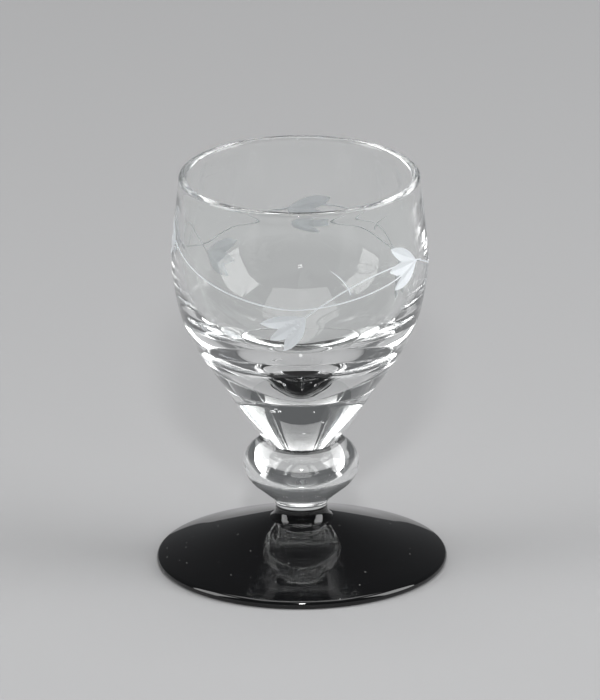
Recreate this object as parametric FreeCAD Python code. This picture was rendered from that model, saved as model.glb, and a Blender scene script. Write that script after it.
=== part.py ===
"""A small footed shot glass: clear bowl, solid cone, flattened knop and short neck on a black foot.

Units are millimetres. +Z is up, and the origin is the centre of the ring that the glass stands on. Every piece is
round about the Z axis. It is drawn as a half outline of (radius, height) points and then turned.
"""
import FreeCAD
import Part
import math
import os

HEIGHT = 80.0

# The flat round faces where two pieces are fused together, as (radius, height)
CONE_TO_BOWL = (15.3, 37.5)
KNOP_TO_CONE = (7.2, 25.3)
NECK_TO_KNOP = (6.0, 13.6)
FOOT_TO_NECK = (6.2, 9.2)

# Bowl: egg shaped outside, widest at the belly and drawn in a little to a round rim. Inside it narrows to a blunt
# point, which leaves the bottom thick
SHOULDER = [(19.6, 43.7), (22.85, 50.0), (24.4, 56.2)]
BELLY = (25.13, 62.4)
UPPER_WALL = (24.67, 68.7)
RIM_R = 23.6
RIM_WALL = 1.7
SWELL_ABOVE_CONE = (0.78, 1.0)
INSIDE_WALL = [(22.75, 68.7), (23.05, 62.4), (22.0, 56.2), (19.4, 50.6), (14.8, 46.4), (9.0, 43.3), (4.4, 41.0)]
INSIDE_TIP = (1.8, 39.9)
INSIDE_BOTTOM_Z = 39.6

# Cone: its side bows out a little half way up
CONE_SIDE = (11.4, 31.2)

# Knop: a flattened ball, drawn in below towards the neck
KNOP_SIDE = (11.3, 20.3)
KNOP_TAPER = (9.35, 16.4)

# Neck: a spool, narrowest half way down
WAIST = (5.05, 11.5)

# Foot: a shallow dome with a rounded edge, hollow underneath, so that it stands on a ring
FOOT_R = 28.4
FOOT_EDGE_R = 0.9
FOOT_TOP = (17.0, 5.55)
FOOT_SLOPE = 19.0
RING_INNER_R = 26.3
HOLLOW = [(22.0, 1.6), (13.0, 4.5)]
HOLLOW_TOP_Z = 6.2


def at(point):
    """The 3-D place of a (radius, height) point."""
    return FreeCAD.Vector(point[0], 0, point[1])


def line(start, end):
    return Part.LineSegment(at(start), at(end)).toShape()


def arc(start, middle, end):
    return Part.Arc(at(start), at(middle), at(end)).toShape()


def curve(points, start_direction, end_direction):
    """A smooth curve through the points that leaves and arrives in the given directions."""
    spline = Part.BSplineCurve()
    spline.interpolate(
        Points=[at(point) for point in points],
        InitialTangent=at(start_direction),
        FinalTangent=at(end_direction),
    )
    return spline.toShape()


def axis_point(point):
    """The point on the axis at the same height."""
    return (0, point[1])


def turned(edges):
    """The solid that a closed half outline makes when it is turned about the Z axis."""
    face = Part.Face(Part.Wire(edges))
    return face.revolve(FreeCAD.Vector(0, 0, 0), FreeCAD.Vector(0, 0, 1), 360)


def bowl():
    """The cup, with a thick round bottom that is flat where it meets the cone."""
    lip = RIM_WALL / 2
    outer_lip = (RIM_R, HEIGHT - lip)
    inner_lip = (RIM_R - RIM_WALL, HEIGHT - lip)
    rim_top = (RIM_R - lip, HEIGHT)
    rise = (outer_lip[0] - UPPER_WALL[0], outer_lip[1] - UPPER_WALL[1])
    drop = (-rise[0], -rise[1])
    bottom = (0, INSIDE_BOTTOM_Z)
    return turned([
        line(axis_point(CONE_TO_BOWL), CONE_TO_BOWL),
        curve([CONE_TO_BOWL, *SHOULDER, BELLY, UPPER_WALL, outer_lip], SWELL_ABOVE_CONE, rise),
        arc(outer_lip, rim_top, inner_lip),
        curve([inner_lip, *INSIDE_WALL, INSIDE_TIP, bottom], drop, (-1, 0)),
        line(bottom, axis_point(CONE_TO_BOWL)),
    ])


def cone():
    """The solid glass cone that carries the bowl."""
    return turned([
        line(axis_point(KNOP_TO_CONE), KNOP_TO_CONE),
        arc(KNOP_TO_CONE, CONE_SIDE, CONE_TO_BOWL),
        line(CONE_TO_BOWL, axis_point(CONE_TO_BOWL)),
        line(axis_point(CONE_TO_BOWL), axis_point(KNOP_TO_CONE)),
    ])


def knop():
    """The flattened ball in the middle of the stem."""
    return turned([
        line(axis_point(NECK_TO_KNOP), NECK_TO_KNOP),
        line(NECK_TO_KNOP, KNOP_TAPER),
        arc(KNOP_TAPER, KNOP_SIDE, KNOP_TO_CONE),
        line(KNOP_TO_CONE, axis_point(KNOP_TO_CONE)),
        line(axis_point(KNOP_TO_CONE), axis_point(NECK_TO_KNOP)),
    ])


def neck():
    """The short clear spool between knop and foot."""
    return turned([
        line(axis_point(FOOT_TO_NECK), FOOT_TO_NECK),
        arc(FOOT_TO_NECK, WAIST, NECK_TO_KNOP),
        line(NECK_TO_KNOP, axis_point(NECK_TO_KNOP)),
        line(axis_point(NECK_TO_KNOP), axis_point(FOOT_TO_NECK)),
    ])


def foot():
    """The black disc that the glass stands on."""
    slope = math.radians(90 - FOOT_SLOPE)
    edge_centre = (FOOT_R - FOOT_EDGE_R, FOOT_EDGE_R)
    edge_top = (
        edge_centre[0] + FOOT_EDGE_R * math.cos(slope),
        edge_centre[1] + FOOT_EDGE_R * math.sin(slope),
    )
    edge_side = (FOOT_R, FOOT_EDGE_R)
    edge_bottom = (edge_centre[0], 0)
    ring_inside = (RING_INNER_R, 0)
    hollow_top = (0, HOLLOW_TOP_Z)
    return turned([
        line(axis_point(FOOT_TO_NECK), FOOT_TO_NECK),
        arc(FOOT_TO_NECK, FOOT_TOP, edge_top),
        arc(edge_top, edge_side, edge_bottom),
        line(edge_bottom, ring_inside),
        curve([ring_inside, *HOLLOW, hollow_top], (-1, 0.4), (-1, 0)),
        line(hollow_top, axis_point(FOOT_TO_NECK)),
    ])


PIECES = {"bowl": bowl, "cone": cone, "knop": knop, "neck": neck, "foot": foot}

os.makedirs("parts", exist_ok=True)
for name, make in PIECES.items():
    piece = make()
    print(f"{name}: valid {piece.isValid()}, {piece.ShapeType}, {piece.Volume / 1000:.2f} ml of glass")
    piece.exportStep(f"parts/{name}.step")
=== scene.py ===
"""Footed shot glass: the looks.

Lengths are in metres, and angles round the glass are in degrees from the front. Every piece is round about
Z, and its half outline is read from the CAD piece that it replaces. The cut garland is worked into the
outside of the bowl as real grooves.
"""

import math

import bmesh
import bpy
import numpy as np
from mathutils import Matrix, Vector
from mathutils.geometry import delaunay_2d_cdt


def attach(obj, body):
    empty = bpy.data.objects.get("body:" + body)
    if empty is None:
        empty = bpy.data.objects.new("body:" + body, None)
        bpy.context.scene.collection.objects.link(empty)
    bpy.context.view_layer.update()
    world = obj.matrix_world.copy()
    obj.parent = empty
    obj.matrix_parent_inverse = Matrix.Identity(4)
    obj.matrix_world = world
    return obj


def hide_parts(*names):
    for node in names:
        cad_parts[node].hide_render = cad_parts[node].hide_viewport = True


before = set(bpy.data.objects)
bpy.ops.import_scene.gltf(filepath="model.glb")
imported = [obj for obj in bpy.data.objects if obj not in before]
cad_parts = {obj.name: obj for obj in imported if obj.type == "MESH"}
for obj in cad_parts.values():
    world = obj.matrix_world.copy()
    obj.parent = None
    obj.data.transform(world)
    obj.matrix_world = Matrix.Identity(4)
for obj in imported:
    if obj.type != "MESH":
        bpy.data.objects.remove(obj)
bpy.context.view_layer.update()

MM = 0.001
TURN_STEPS = 240
OUTLINE_STEP = 0.5 * MM
SAME_PLACE = 0.001 * MM
# Decimals of a metre to which the points of a CAD piece are read
READ_DIGITS = 6

# Places in a piece's list of materials: its plain glass, its joints and, on the bowl, the cut garland
CLEAR, FUSED, CUT = 0, 1, 2

# The fine line round the glass where bowl and cone were fused, and in how many steps it is drawn
SEAM_DEPTH = 0.14 * MM
SEAM_REACH = 0.4 * MM
SEAM_STEPS = 4

# How far the foot's joint lies below the neck's, so that the two faces don't fight
FOOT_JOINT_GAP = 0.02 * MM

# Seed bubbles in the cone, as (x, y, z, radius) in mm
SEEDS = [
    (-4.0, -3.6, 35.7, 0.44),
    (-3.0, -3.2, 35.9, 0.3),
    (-3.6, -3.9, 36.4, 0.22),
    (1.9, -4.1, 35.8, 0.16),
    (4.6, -3.0, 34.6, 0.13),
    (2.8, -1.0, 33.0, 0.18),
    (0.3, 1.2, 30.4, 0.15),
    (0.2, 0.4, 27.6, 0.12),
]

# The band of the bowl that carries the cut garland: its edges, how far apart its rows of points are, how near
# the plain rings come to it, the angle where it closes on itself, and its radius when it is laid out flat
BAND_LOW = 48.0 * MM
BAND_HIGH = 74.5 * MM
BAND_ROW = 0.7 * MM
BAND_GAP = 0.1 * MM
BAND_START = -165.0
FLAT_R = 24.8 * MM
DEGREE = FLAT_R * math.pi / 180
# What the triangulation is told: to fill the outline, and the distance in mm at which two points are one
FILL_OUTLINE = 0
SAME_FLAT_PLACE = 1e-4

# Where the garland line turns, as (angle, height in mm): it hangs in swags between high places. The power says
# how it rises from the lowest place of a swag to a pointed high place. The high place at the back is round
GARLAND_TURNS = [(-128, 60.4), (-77, 68.4), (-3, 60.8), (66, 65.9), (120, 58.8), (186, 64.4), (232, 60.4)]
SWAG_POWER = 1.5
ROUND_TURN = 186
# Degrees from one point of the line to the next, and degrees that it runs past both ends of the band
GARLAND_STEP = 1.5
GARLAND_OVERRUN = 3
LINE_WIDTH = 0.28 * MM
LINE_DEPTH = 0.07 * MM
# A line that begins as a fine point: its width there, and the part of its length that it takes to widen
POINT_WIDTH = 0.25
POINT_LENGTH = 0.25

# Each low sprig and the high one that its stem climbs to, as (angle, height in mm, its droop in degrees)
SPRIGS = [
    ((2.5, 59.3, 0), (65, 65.9, 0)),
    ((120, 57.2, 0), (186, 64.5, 13)),
    ((-126, 58.6, -10), (-77, 68.2, 0)),
]
# The three leaves of a sprig: their tilts up from level, how much they bow, their lengths, and the powers by
# which they widen from the stem and narrow to the tip
LOW_LEAF_TILTS = [-11, -36, -59]
HIGH_LEAF_TILTS = [28, 0, -27]
LOW_LEAF_BEND = 0.12
HIGH_LEAF_BEND = 0.06
LEAF_LENGTHS = [9.3 * MM, 9.0 * MM, 8.8 * MM]
LEAF_WIDTH = 2.7 * MM
LEAF_DEPTH = 0.32 * MM
LEAF_STEM_POWER = 1.15
LEAF_TIP_POWER = 0.95
LEAF_POINTS = 22
# How a stem climbs, as a cubic without its constant, and where it ends when the high sprig is at 1
STEM_CLIMB = [3.32, -2.84, 0.52]
STEM_END = 1.08
STEM_POINTS = 38
# A curl that leaves each stem, as (degrees past the low sprig, mm above it)
TENDRIL = [(20.5, 3.8), (20.2, 4.9), (18.2, 6.5), (15.3, 8.0), (11.2, 9.1)]
TENDRIL_POINTS = 16

GLASS_IOR = 1.52
BLACK = (0.0012, 0.0012, 0.0015)

# Dust on the foot: cells per metre, the share of them with a speck, and its size as a share of a cell
DUST_CELLS = 800
DUST_SHARE = 0.12
DUST_SIZE = 0.09
DUST_COLOUR = (0.35, 0.35, 0.34)

# Camera: how far and how high it stands, its roll, how far it sees, and how much of the glass's plane it shows
CAMERA_DISTANCE = 4.0
CAMERA_ELEVATION = 19.8
CAMERA_ROLL = -0.4
CAMERA_REACH = 20
SENSOR_WIDTH = 36
VIEW_HEIGHT = 136.6 * MM
VIEW_CENTRE = 43.6 * MM
VIEW_ASIDE = -0.1 * MM

# How often light may bounce on its way through the thick glass
GLASS_BOUNCES = 48

FLOOR_R = 2.5
FLOOR_SIDES = 96
FLOOR_COLOUR = (0.4, 0.4, 0.404)
ROOM_COLOUR = (0.12, 0.123, 0.127)

# Lights: name, azimuth, elevation, distance, width, height, watts. They all look at the middle of the glass
MIDDLE = (0, 0, 40 * MM)
LIGHTS = [
    ("left_window", -80, 27, 1.2, 0.55, 1.05, 8),
    ("right_window", 81, 27, 1.2, 0.7, 1.05, 12),
    ("top_light", 180, 88, 1.5, 1.3, 1.3, 12),
    ("front_lamp", 0, 34, 1.3, 0.09, 0.09, 6),
]


# ---------- Outlines read from the CAD pieces ----------


def half_outline(node):
    """A CAD piece's section with the half plane y = 0, x > 0, as (radius, height) points from the axis out."""
    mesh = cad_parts[node].data
    links = {}
    for edge in mesh.edges:
        corners = [mesh.vertices[i].co for i in edge.vertices]
        if all(abs(co.y) < SAME_PLACE and co.x > -SAME_PLACE for co in corners):
            first, second = [(round(co.x, READ_DIGITS), round(co.z, READ_DIGITS)) for co in corners]
            links.setdefault(first, set()).add(second)
            links.setdefault(second, set()).add(first)
    ends = {point for point, joined in links.items() if len(joined - {point}) == 1}
    path = [min(ends)]
    while True:
        # A level face has no edge in the half plane, so the path jumps across it to the next end
        onward = links[path[-1]] - set(path) or ends - set(path)
        if not onward:
            return np.array(path)
        path.append(min(onward, key=lambda point: math.dist(point, path[-1])))


def distances(points):
    """How far along the outline each of its points lies."""
    return np.concatenate([[0], np.cumsum(np.linalg.norm(np.diff(points, axis=0), axis=1))])


def even_outline(points):
    """The outline with points added on a local cubic where two are further apart than the outline step."""
    along = distances(points)
    gaps = np.diff(along)
    tangents = np.gradient(points, along, axis=0)
    rows = []
    for i, gap in enumerate(gaps):
        count = max(1, math.ceil(gap / OUTLINE_STEP))
        t = (np.arange(count) / count)[:, None]
        rows.append(
            (1 + 2 * t) * (1 - t) ** 2 * points[i]
            + t * (1 - t) ** 2 * gap * tangents[i]
            + t**2 * (3 - 2 * t) * points[i + 1]
            + t**2 * (t - 1) * gap * tangents[i + 1]
        )
    rows.append(points[-1:])
    return np.clip(np.concatenate(rows), points.min(axis=0), points.max(axis=0))


def drawn_in(outline):
    """The outline drawn in beside its first point, which leaves a fine line where two pieces were fused."""
    along = distances(outline)
    places = np.union1d(along, SEAM_REACH * np.arange(1, SEAM_STEPS) / SEAM_STEPS)
    drawn = np.stack([np.interp(places, along, column) for column in outline.T], axis=1)
    drawn[:, 0] -= SEAM_DEPTH * np.clip(1 - places / SEAM_REACH, 0, 1) ** 2
    return drawn


# ---------- Meshes ----------


def on_circle(radius, height, degrees):
    """The point of the glass at an angle from the front, which faces -Y."""
    turn = math.radians(degrees)
    return Vector((radius * math.sin(turn), -radius * math.cos(turn), height))


def add_turned(bm, points, material=0):
    """Add the surface that an outline makes when it is turned, with one point where it meets the axis."""
    rings = []
    for radius, height in points:
        if radius < SAME_PLACE:
            rings.append([bm.verts.new((0, 0, height))])
        else:
            angles = BAND_START + np.arange(TURN_STEPS) * 360 / TURN_STEPS
            rings.append([bm.verts.new(on_circle(radius, height, angle)) for angle in angles])
    for low, high in zip(rings, rings[1:]):
        for i in range(TURN_STEPS):
            j = (i + 1) % TURN_STEPS
            corners = [low[i % len(low)], low[j % len(low)], high[j % len(high)], high[i % len(high)]]
            face = bm.faces.new(dict.fromkeys(corners))
            face.material_index = material
            face.smooth = True


def add_disc(bm, edge_point, material):
    """Add the flat face that fills a joint's circle."""
    add_turned(bm, [(0, edge_point[1]), tuple(edge_point)], material)


def add_seed(bm, centre, radius):
    """Add a tiny bubble: a closed ball that faces inwards, because the glass is outside it."""
    ball = bmesh.ops.create_icosphere(bm, subdivisions=3, radius=radius, matrix=Matrix.Translation(centre))
    faces = list({face for vert in ball["verts"] for face in vert.link_faces})
    for face in faces:
        face.smooth = True
    bmesh.ops.reverse_faces(bm, faces=faces)


def make_piece(name, bm, materials, node, seeds=()):
    """Turn a bmesh into a piece that rides on the glass and stands for its CAD piece."""
    bmesh.ops.remove_doubles(bm, verts=bm.verts, dist=SAME_PLACE)
    bmesh.ops.recalc_face_normals(bm, faces=bm.faces)
    for x, y, z, radius in seeds:
        add_seed(bm, Vector((x, y, z)) * MM, radius * MM)
    for edge in bm.edges:
        if len({face.material_index for face in edge.link_faces}) > 1:
            edge.smooth = False
    mesh = bpy.data.meshes.new(name)
    bm.to_mesh(mesh)
    bm.free()
    for material in materials:
        mesh.materials.append(material)
    piece = bpy.data.objects.new(name, mesh)
    bpy.context.scene.collection.objects.link(piece)
    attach(piece, "root")
    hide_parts(node)
    return piece


# ---------- The cut garland, laid out flat as (distance round the bowl, height) ----------


class Cut:
    """A wheel-cut groove: a centre line, half widths along it, and its depth where it is widest."""

    def __init__(self, centre, half_widths, depth):
        self.centre = np.array(centre)
        self.half_widths = np.maximum(half_widths, 0)
        self.depths = depth * self.half_widths / max(half_widths)

    def edges(self):
        """The two sides of the groove."""
        ahead = np.gradient(self.centre, axis=0)
        ahead /= np.linalg.norm(ahead, axis=1)[:, None]
        aside = np.stack([-ahead[:, 1], ahead[:, 0]], axis=1) * self.half_widths[:, None]
        return self.centre + aside, self.centre - aside

    def depth_at(self, points):
        """How deep the groove is at each of these points: a V across its width."""
        deepest = np.zeros(len(points))
        reach = self.half_widths.max()
        near = np.all((points > self.centre.min(0) - reach) & (points < self.centre.max(0) + reach), axis=1)
        places = points[near]
        found = np.zeros(len(places))
        for i in range(len(self.centre) - 1):
            start, run = self.centre[i], self.centre[i + 1] - self.centre[i]
            t = np.clip((places - start) @ run / (run @ run), 0, 1)
            away = np.linalg.norm(places - start - t[:, None] * run, axis=1)
            half = self.half_widths[i] + t * (self.half_widths[i + 1] - self.half_widths[i])
            depth = self.depths[i] + t * (self.depths[i + 1] - self.depths[i])
            found = np.maximum(found, depth * np.clip(1 - away / np.maximum(half, SAME_PLACE), 0, 1))
        deepest[near] = found
        return deepest


def flat(degrees, millimetres):
    """A place on the flat band from an angle and a height in millimetres."""
    return (degrees * DEGREE, millimetres * MM)


def garland_height(degrees):
    """The height in mm of the main line at an angle: it climbs from a low turn to the high one beside it."""
    first = GARLAND_TURNS[0][0]
    degrees = (degrees - first) % 360 + first
    for turns in zip(GARLAND_TURNS, GARLAND_TURNS[1:]):
        if degrees <= turns[1][0]:
            low, high = sorted(turns, key=lambda turn: turn[1])
            way = (degrees - low[0]) / (high[0] - low[0])
            climbed = (1 - math.cos(math.pi * way)) / 2 if high[0] == ROUND_TURN else way**SWAG_POWER
            return low[1] + (high[1] - low[1]) * climbed


def line_cut(points, thin_start=False):
    """A fine line of even width, or one that begins as a fine point."""
    half_widths = np.full(len(points), LINE_WIDTH / 2)
    if thin_start:
        half_widths *= np.clip(np.linspace(0, 1 / POINT_LENGTH, len(points)), POINT_WIDTH, 1)
    return Cut(points, half_widths, LINE_DEPTH)


def garland_cut():
    """The main line, which runs a little past both ends of the flat band so that it closes on itself."""
    first, last = BAND_START - GARLAND_OVERRUN, BAND_START + 360 + GARLAND_OVERRUN
    angles = np.arange(first, last + GARLAND_STEP / 2, GARLAND_STEP)
    return line_cut([flat(angle, garland_height(angle)) for angle in angles])


def stem_cut(low, high):
    """The stem from a low sprig to a high one: it climbs past it, comes down to it and runs a little on."""
    points = []
    for t in np.linspace(0, STEM_END, STEM_POINTS):
        rise = sum(share * t**power for power, share in enumerate(STEM_CLIMB, start=1))
        points.append(flat(low[0] + t * (high[0] - low[0]), low[1] + rise * (high[1] - low[1])))
    return line_cut(points)


def tendril_cut(low):
    """The curl that springs from a stem and ends as a fine point: a Bezier curve on its five places."""
    corners = np.array([flat(low[0] + degrees, low[1] + up) for degrees, up in TENDRIL])
    points = []
    for t in np.linspace(0, 1, TENDRIL_POINTS):
        level = corners
        while len(level) > 1:
            level = level[:-1] + t * (level[1:] - level[:-1])
        points.append(level[0])
    return line_cut(points[::-1], thin_start=True)


def leaf_cut(node, tilt, length, bend):
    """A leaf that points left from its node, narrow at the stem and widest past the middle."""
    t = np.linspace(0, 1, LEAF_POINTS)
    widths = t**LEAF_STEM_POWER * (1 - t) ** LEAF_TIP_POWER
    half_widths = LEAF_WIDTH / 2 * widths / widths.max()
    along = length * t
    across = bend * length * t * (1 - t)
    turn = math.radians(180 - tilt)
    start = np.array(flat(*node))
    ahead = np.array([math.cos(turn), math.sin(turn)])
    aside = np.array([-ahead[1], ahead[0]])
    centre = start + along[:, None] * ahead + across[:, None] * aside
    return Cut(centre, half_widths, LEAF_DEPTH)


def leaf_cuts(sprig, tilts, bend):
    """The three leaves of a sprig."""
    degrees, height, droop = sprig
    cuts = []
    for tilt, length in zip(tilts, LEAF_LENGTHS):
        cuts.append(leaf_cut((degrees, height), tilt - droop, length, bend))
    return cuts


def all_cuts():
    """Every groove of the garland."""
    cuts = [garland_cut()]
    for low, high in SPRIGS:
        cuts.append(stem_cut(low, high))
        cuts.append(tendril_cut(low))
        cuts += leaf_cuts(low, LOW_LEAF_TILTS, LOW_LEAF_BEND)
        cuts += leaf_cuts(high, HIGH_LEAF_TILTS, HIGH_LEAF_BEND)
    return cuts


def band_mesh(cuts):
    """The flat band as (points, depths, triangles), with every groove's sides and middle as edges."""
    columns = BAND_START * DEGREE + np.arange(TURN_STEPS + 1) * 360 / TURN_STEPS * DEGREE
    rows = np.linspace(BAND_LOW, BAND_HIGH, round((BAND_HIGH - BAND_LOW) / BAND_ROW) + 1)
    points = [(x, z) for z in rows for x in columns]
    edges = []
    corners = [0, TURN_STEPS, len(points) - 1, len(points) - 1 - TURN_STEPS]
    edges += list(zip(corners, corners[1:] + corners[:1]))
    for cut in cuts:
        for path in (cut.centre, *cut.edges()):
            first = len(points)
            points += [tuple(point) for point in path]
            edges += [(i, i + 1) for i in range(first, len(points) - 1)]
    places = [Vector(point) / MM for point in points]
    found_points, _, found_triangles = delaunay_2d_cdt(places, edges, [], FILL_OUTLINE, SAME_FLAT_PLACE)[:3]
    flat_points = np.array([tuple(point) for point in found_points]) * MM
    triangles = np.array([tuple(triangle) for triangle in found_triangles])
    middles = flat_points[triangles].mean(axis=1)
    # The line's overrun makes triangles outside the band, which are dropped
    low_corner = np.array([columns[0], BAND_LOW]) + SAME_PLACE
    high_corner = np.array([columns[-1], BAND_HIGH]) - SAME_PLACE
    inside = np.all((middles > low_corner) & (middles < high_corner), axis=1)
    depths = np.max([cut.depth_at(flat_points) for cut in cuts], axis=0)
    return flat_points, depths, triangles[inside]


# ---------- Materials ----------


def new_material(name, colour, roughness, transmission=0.0):
    """A material with these even values on its shader. Returns it with its node tree and its shader."""
    material = bpy.data.materials.new(name)
    material.use_nodes = True
    tree = material.node_tree
    shader = tree.nodes["Principled BSDF"]
    shader.inputs["Base Color"].default_value = (*colour, 1)
    shader.inputs["Roughness"].default_value = roughness
    shader.inputs["IOR"].default_value = GLASS_IOR
    shader.inputs["Transmission Weight"].default_value = transmission
    return material, tree, shader


def add_noise(tree, scale, detail=2.0, stretch=(1, 1, 1)):
    """Noise in the object's own coordinates, as a node. The scale is in features per metre."""
    coordinates = tree.nodes.new("ShaderNodeTexCoord")
    mapping = tree.nodes.new("ShaderNodeMapping")
    mapping.inputs["Scale"].default_value = stretch
    noise = tree.nodes.new("ShaderNodeTexNoise")
    noise.inputs["Scale"].default_value = scale
    noise.inputs["Detail"].default_value = detail
    tree.links.new(coordinates.outputs["Object"], mapping.inputs["Vector"])
    tree.links.new(mapping.outputs["Vector"], noise.inputs["Vector"])
    return noise


def add_range(tree, noise, low, high, start=0.3, end=0.7):
    """The noise as values from low to high, as it goes from start to end."""
    spread = tree.nodes.new("ShaderNodeMapRange")
    spread.inputs["From Min"].default_value = start
    spread.inputs["From Max"].default_value = end
    spread.inputs["To Min"].default_value = low
    spread.inputs["To Max"].default_value = high
    tree.links.new(noise.outputs["Fac"], spread.inputs["Value"])
    return spread.outputs["Result"]


def add_bump(tree, shader, noise, height):
    """Relief of that height from the noise."""
    bump = tree.nodes.new("ShaderNodeBump")
    bump.inputs["Strength"].default_value = 1.0
    bump.inputs["Distance"].default_value = height
    tree.links.new(noise.outputs["Fac"], bump.inputs["Height"])
    tree.links.new(bump.outputs["Normal"], shader.inputs["Normal"])


def clear_glass():
    """Fire-polished glass: almost colourless, with the slow ripple of hand work and a trace of bloom."""
    colour = (0.985, 0.995, 0.99)
    material, tree, shader = new_material("clear_glass", colour, roughness=0.0, transmission=1.0)
    ripple = add_noise(tree, scale=110, stretch=(1, 1, 0.5))
    add_bump(tree, shader, ripple, height=0.03 * MM)
    bloom = add_noise(tree, scale=160, detail=4)
    haze = add_range(tree, bloom, low=0.0, high=0.014, start=0.45, end=0.75)
    tree.links.new(haze, shader.inputs["Roughness"])
    return material


def cut_glass():
    """The matt floor of a wheel-cut groove, with the fine marks of the wheel."""
    colour = (0.88, 0.92, 0.95)
    material, tree, shader = new_material("cut_glass", colour, roughness=0.5, transmission=0.35)
    marks = add_noise(tree, scale=2600, detail=3, stretch=(1, 1, 2.2))
    add_bump(tree, shader, marks, height=0.08 * MM)
    tree.links.new(add_range(tree, marks, low=0.35, high=0.65), shader.inputs["Roughness"])
    return material


def fused_glass():
    """The inside of a fused join: there is nothing to see, because the glass runs straight through."""
    material = bpy.data.materials.new("fused_glass")
    material.use_nodes = True
    tree = material.node_tree
    tree.nodes.remove(tree.nodes["Principled BSDF"])
    through = tree.nodes.new("ShaderNodeBsdfTransparent")
    tree.links.new(through.outputs["BSDF"], tree.nodes["Material Output"].inputs["Surface"])
    return material


def add_dust(tree, shader, colour):
    """A few pale specks of dust over an even colour: a dot in the middle of a few of the cells."""
    coordinates = tree.nodes.new("ShaderNodeTexCoord")
    cells = tree.nodes.new("ShaderNodeTexVoronoi")
    cells.inputs["Scale"].default_value = DUST_CELLS
    chance = tree.nodes.new("ShaderNodeSeparateColor")
    dusty = tree.nodes.new("ShaderNodeMath")
    dusty.operation = "GREATER_THAN"
    dusty.inputs[1].default_value = 1 - DUST_SHARE
    dot = tree.nodes.new("ShaderNodeMath")
    dot.operation = "LESS_THAN"
    dot.inputs[1].default_value = DUST_SIZE
    speck = tree.nodes.new("ShaderNodeMath")
    speck.operation = "MULTIPLY"
    mix = tree.nodes.new("ShaderNodeMix")
    mix.data_type = "RGBA"
    mix.inputs["A"].default_value = (*colour, 1)
    mix.inputs["B"].default_value = (*DUST_COLOUR, 1)
    tree.links.new(coordinates.outputs["Object"], cells.inputs["Vector"])
    tree.links.new(cells.outputs["Color"], chance.inputs["Color"])
    tree.links.new(chance.outputs["Red"], dusty.inputs[0])
    tree.links.new(cells.outputs["Distance"], dot.inputs[0])
    tree.links.new(dusty.outputs["Value"], speck.inputs[0])
    tree.links.new(dot.outputs["Value"], speck.inputs[1])
    tree.links.new(speck.outputs["Value"], mix.inputs["Factor"])
    tree.links.new(mix.outputs["Result"], shader.inputs["Base Color"])


def black_glass():
    """Glossy black glass with a slow ripple, a trace of haze and a little dust."""
    material, tree, shader = new_material("black_glass", BLACK, roughness=0.03)
    add_dust(tree, shader, BLACK)
    add_bump(tree, shader, add_noise(tree, scale=90), height=0.02 * MM)
    haze = add_range(tree, add_noise(tree, scale=240, detail=6), low=0.02, high=0.07)
    tree.links.new(haze, shader.inputs["Roughness"])
    return material


def black_join():
    """Black glass behind clear glass: it sends nothing back."""
    material, _, shader = new_material("black_join", (0, 0, 0), roughness=1.0)
    shader.inputs["Specular IOR Level"].default_value = 0
    return material


# ---------- Pieces ----------


class Outside:
    """The outside of the bowl, from its joint with the cone up to the top of the rim."""

    def __init__(self, points):
        self.points = points
        self.slopes = np.gradient(points[:, 0], points[:, 1])

    def at(self, height):
        """The radius at a height, and the normal there as its outward and upward parts."""
        radius = np.interp(height, self.points[:, 1], self.points[:, 0])
        slope = np.interp(height, self.points[:, 1], self.slopes)
        length = np.hypot(1, slope)
        return radius, 1 / length, -slope / length


def add_band(bm, outside):
    """Add the band that carries the garland: each point of it is sunk along the normal by its depth."""
    cuts = all_cuts()
    points, depths, triangles = band_mesh(cuts)
    middles = points[triangles].mean(axis=1)
    is_cut = np.max([cut.depth_at(middles) for cut in cuts], axis=0) > 0
    radii, outward, upward = outside.at(points[:, 1])
    corners = {}
    for i in np.unique(triangles):
        radius = radii[i] - depths[i] * outward[i]
        height = points[i, 1] - depths[i] * upward[i]
        corners[i] = bm.verts.new(on_circle(radius, height, points[i, 0] / DEGREE))
    for triangle, in_groove in zip(triangles, is_cut):
        face = bm.faces.new([corners[i] for i in triangle])
        face.smooth = not in_groove
        face.material_index = CUT if in_groove else CLEAR


def smooth_band(mesh, outside):
    """Give the clear glass of the band the plain bowl's normals, so that its thin triangles don't show."""
    normals = np.array([tuple(normal.vector) for normal in mesh.corner_normals])
    for face in mesh.polygons:
        height = face.center.z
        radius = math.hypot(face.center.x, face.center.y)
        on_band = BAND_LOW < height < BAND_HIGH and radius > outside.at(height)[0] - BAND_GAP
        if face.material_index == CLEAR and on_band:
            for loop in face.loop_indices:
                place = mesh.vertices[mesh.loops[loop].vertex_index].co
                _, outward, upward = outside.at(place.z)
                around = Vector((place.x, place.y, 0)).normalized() * outward
                normals[loop] = (around.x, around.y, upward)
    mesh.normals_split_custom_set([tuple(normal) for normal in normals])


def make_bowl(materials):
    """The bowl, with the cut garland on its outside. Its materials are clear, fused and cut, in that order."""
    outline = drawn_in(even_outline(half_outline("bowl"))[::-1])
    top = int(outline[:, 1].argmax())
    outside = Outside(outline[: top + 1])
    inside = outline[top + 1 :]
    below = [tuple(point) for point in outside.points if point[1] < BAND_LOW - BAND_GAP]
    above = [tuple(point) for point in outside.points if point[1] > BAND_HIGH + BAND_GAP]
    band_foot = (outside.at(BAND_LOW)[0], BAND_LOW)
    band_top = (outside.at(BAND_HIGH)[0], BAND_HIGH)
    bm = bmesh.new()
    add_disc(bm, outline[0], FUSED)
    add_turned(bm, [*below, band_foot])
    add_turned(bm, [band_top, *above, *inside])
    add_band(bm, outside)
    bowl = make_piece("bowl_glass", bm, materials, "bowl")
    smooth_band(bowl.data, outside)


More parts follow.
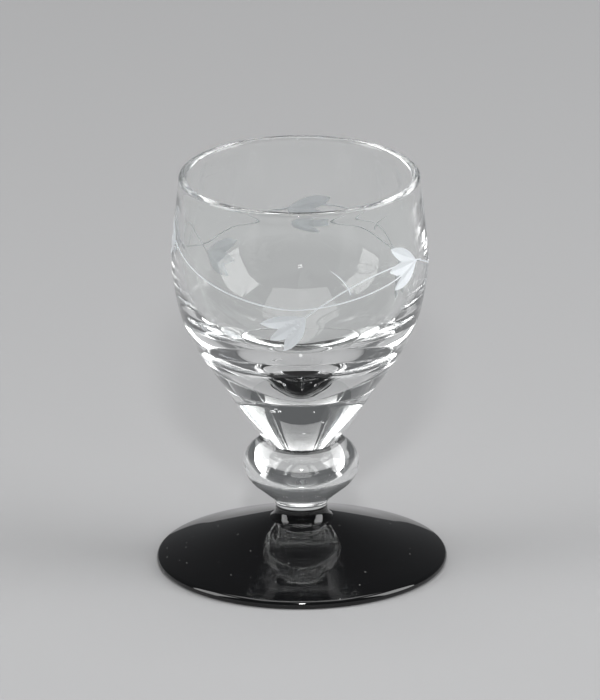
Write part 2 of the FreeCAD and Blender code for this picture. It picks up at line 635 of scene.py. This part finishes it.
def make_stem_piece(node, materials):
    """A clear piece of the stem, closed by a fused joint at each end."""
    outline = even_outline(half_outline(node))
    if node == "cone":
        outline = drawn_in(outline[::-1])[::-1]
    bm = bmesh.new()
    add_disc(bm, outline[0], FUSED)
    add_turned(bm, outline)
    add_disc(bm, outline[-1], FUSED)
    seeds = SEEDS if node == "cone" else ()
    make_piece(node + "_glass", bm, materials, node, seeds)


def make_foot(materials):
    """The black foot, with its joint a hair lower than the neck's."""
    outline = even_outline(half_outline("foot"))
    outline[-1, 1] -= FOOT_JOINT_GAP
    bm = bmesh.new()
    add_turned(bm, outline)
    add_disc(bm, outline[-1], FUSED)
    make_piece("foot_glass", bm, materials, "foot")


# ---------- Stage, lights and camera ----------


def make_floor():
    """A wide round pale floor."""
    bm = bmesh.new()
    bmesh.ops.create_circle(bm, cap_ends=True, segments=FLOOR_SIDES, radius=FLOOR_R)
    mesh = bpy.data.meshes.new("floor")
    bm.to_mesh(mesh)
    bm.free()
    floor = bpy.data.objects.new("floor", mesh)
    bpy.context.scene.collection.objects.link(floor)
    material, tree, shader = new_material("floor", FLOOR_COLOUR, roughness=1.0)
    shader.inputs["Specular IOR Level"].default_value = 0
    add_bump(tree, shader, add_noise(tree, scale=900, detail=3), height=0.02 * MM)
    mesh.materials.append(material)


def aimed(place, target, roll=0.0):
    """The matrix of a light or camera at a place that looks at a target."""
    direction = Vector(target) - Vector(place)
    turn = direction.to_track_quat("-Z", "Y").to_matrix().to_4x4()
    return Matrix.Translation(place) @ turn @ Matrix.Rotation(math.radians(roll), 4, "Z")


def round_place(azimuth, elevation, distance):
    """A place round the glass: azimuth 0 is in front, and grows towards +X."""
    rise = math.radians(elevation)
    return on_circle(distance * math.cos(rise), distance * math.sin(rise), azimuth)


def make_light(name, azimuth, elevation, distance, width, height, watts):
    """A soft rectangular light that looks at the glass."""
    light = bpy.data.lights.new(name, "AREA")
    light.shape = "RECTANGLE"
    light.size = width
    light.size_y = height
    light.energy = watts
    lamp = bpy.data.objects.new(name, light)
    lamp.matrix_world = aimed(round_place(azimuth, elevation, distance), MIDDLE)
    bpy.context.scene.collection.objects.link(lamp)


def make_world():
    """A dim even room."""
    world = bpy.data.worlds.new("room")
    world.use_nodes = True
    background = world.node_tree.nodes["Background"]
    background.inputs["Color"].default_value = (*ROOM_COLOUR, 1)
    bpy.context.scene.world = world


def make_camera():
    """A long lens a little above the glass and far away, so that it shows almost no perspective."""
    data = bpy.data.cameras.new("camera")
    data.sensor_width = SENSOR_WIDTH
    data.lens = SENSOR_WIDTH * CAMERA_DISTANCE / VIEW_HEIGHT
    data.clip_end = CAMERA_REACH
    camera = bpy.data.objects.new("camera", data)
    target = Vector((VIEW_ASIDE, 0, VIEW_CENTRE))
    place = target + round_place(0, CAMERA_ELEVATION, CAMERA_DISTANCE)
    camera.matrix_world = aimed(place, target, CAMERA_ROLL)
    bpy.context.scene.collection.objects.link(camera)
    bpy.context.scene.camera = camera


def let_light_through():
    """Let light bounce often enough inside the thick glass to find its way out, and keep the plain tones."""
    cycles = bpy.context.scene.cycles
    cycles.max_bounces = GLASS_BOUNCES
    cycles.transmission_bounces = GLASS_BOUNCES
    cycles.glossy_bounces = GLASS_BOUNCES
    bpy.context.scene.view_settings.view_transform = "Standard"


make_camera()
let_light_through()
make_world()
make_floor()
for light in LIGHTS:
    make_light(*light)

clear = clear_glass()
fused = fused_glass()
make_bowl([clear, fused, cut_glass()])
for node in ("cone", "knop", "neck"):
    make_stem_piece(node, [clear, fused])
make_foot([black_glass(), black_join()])
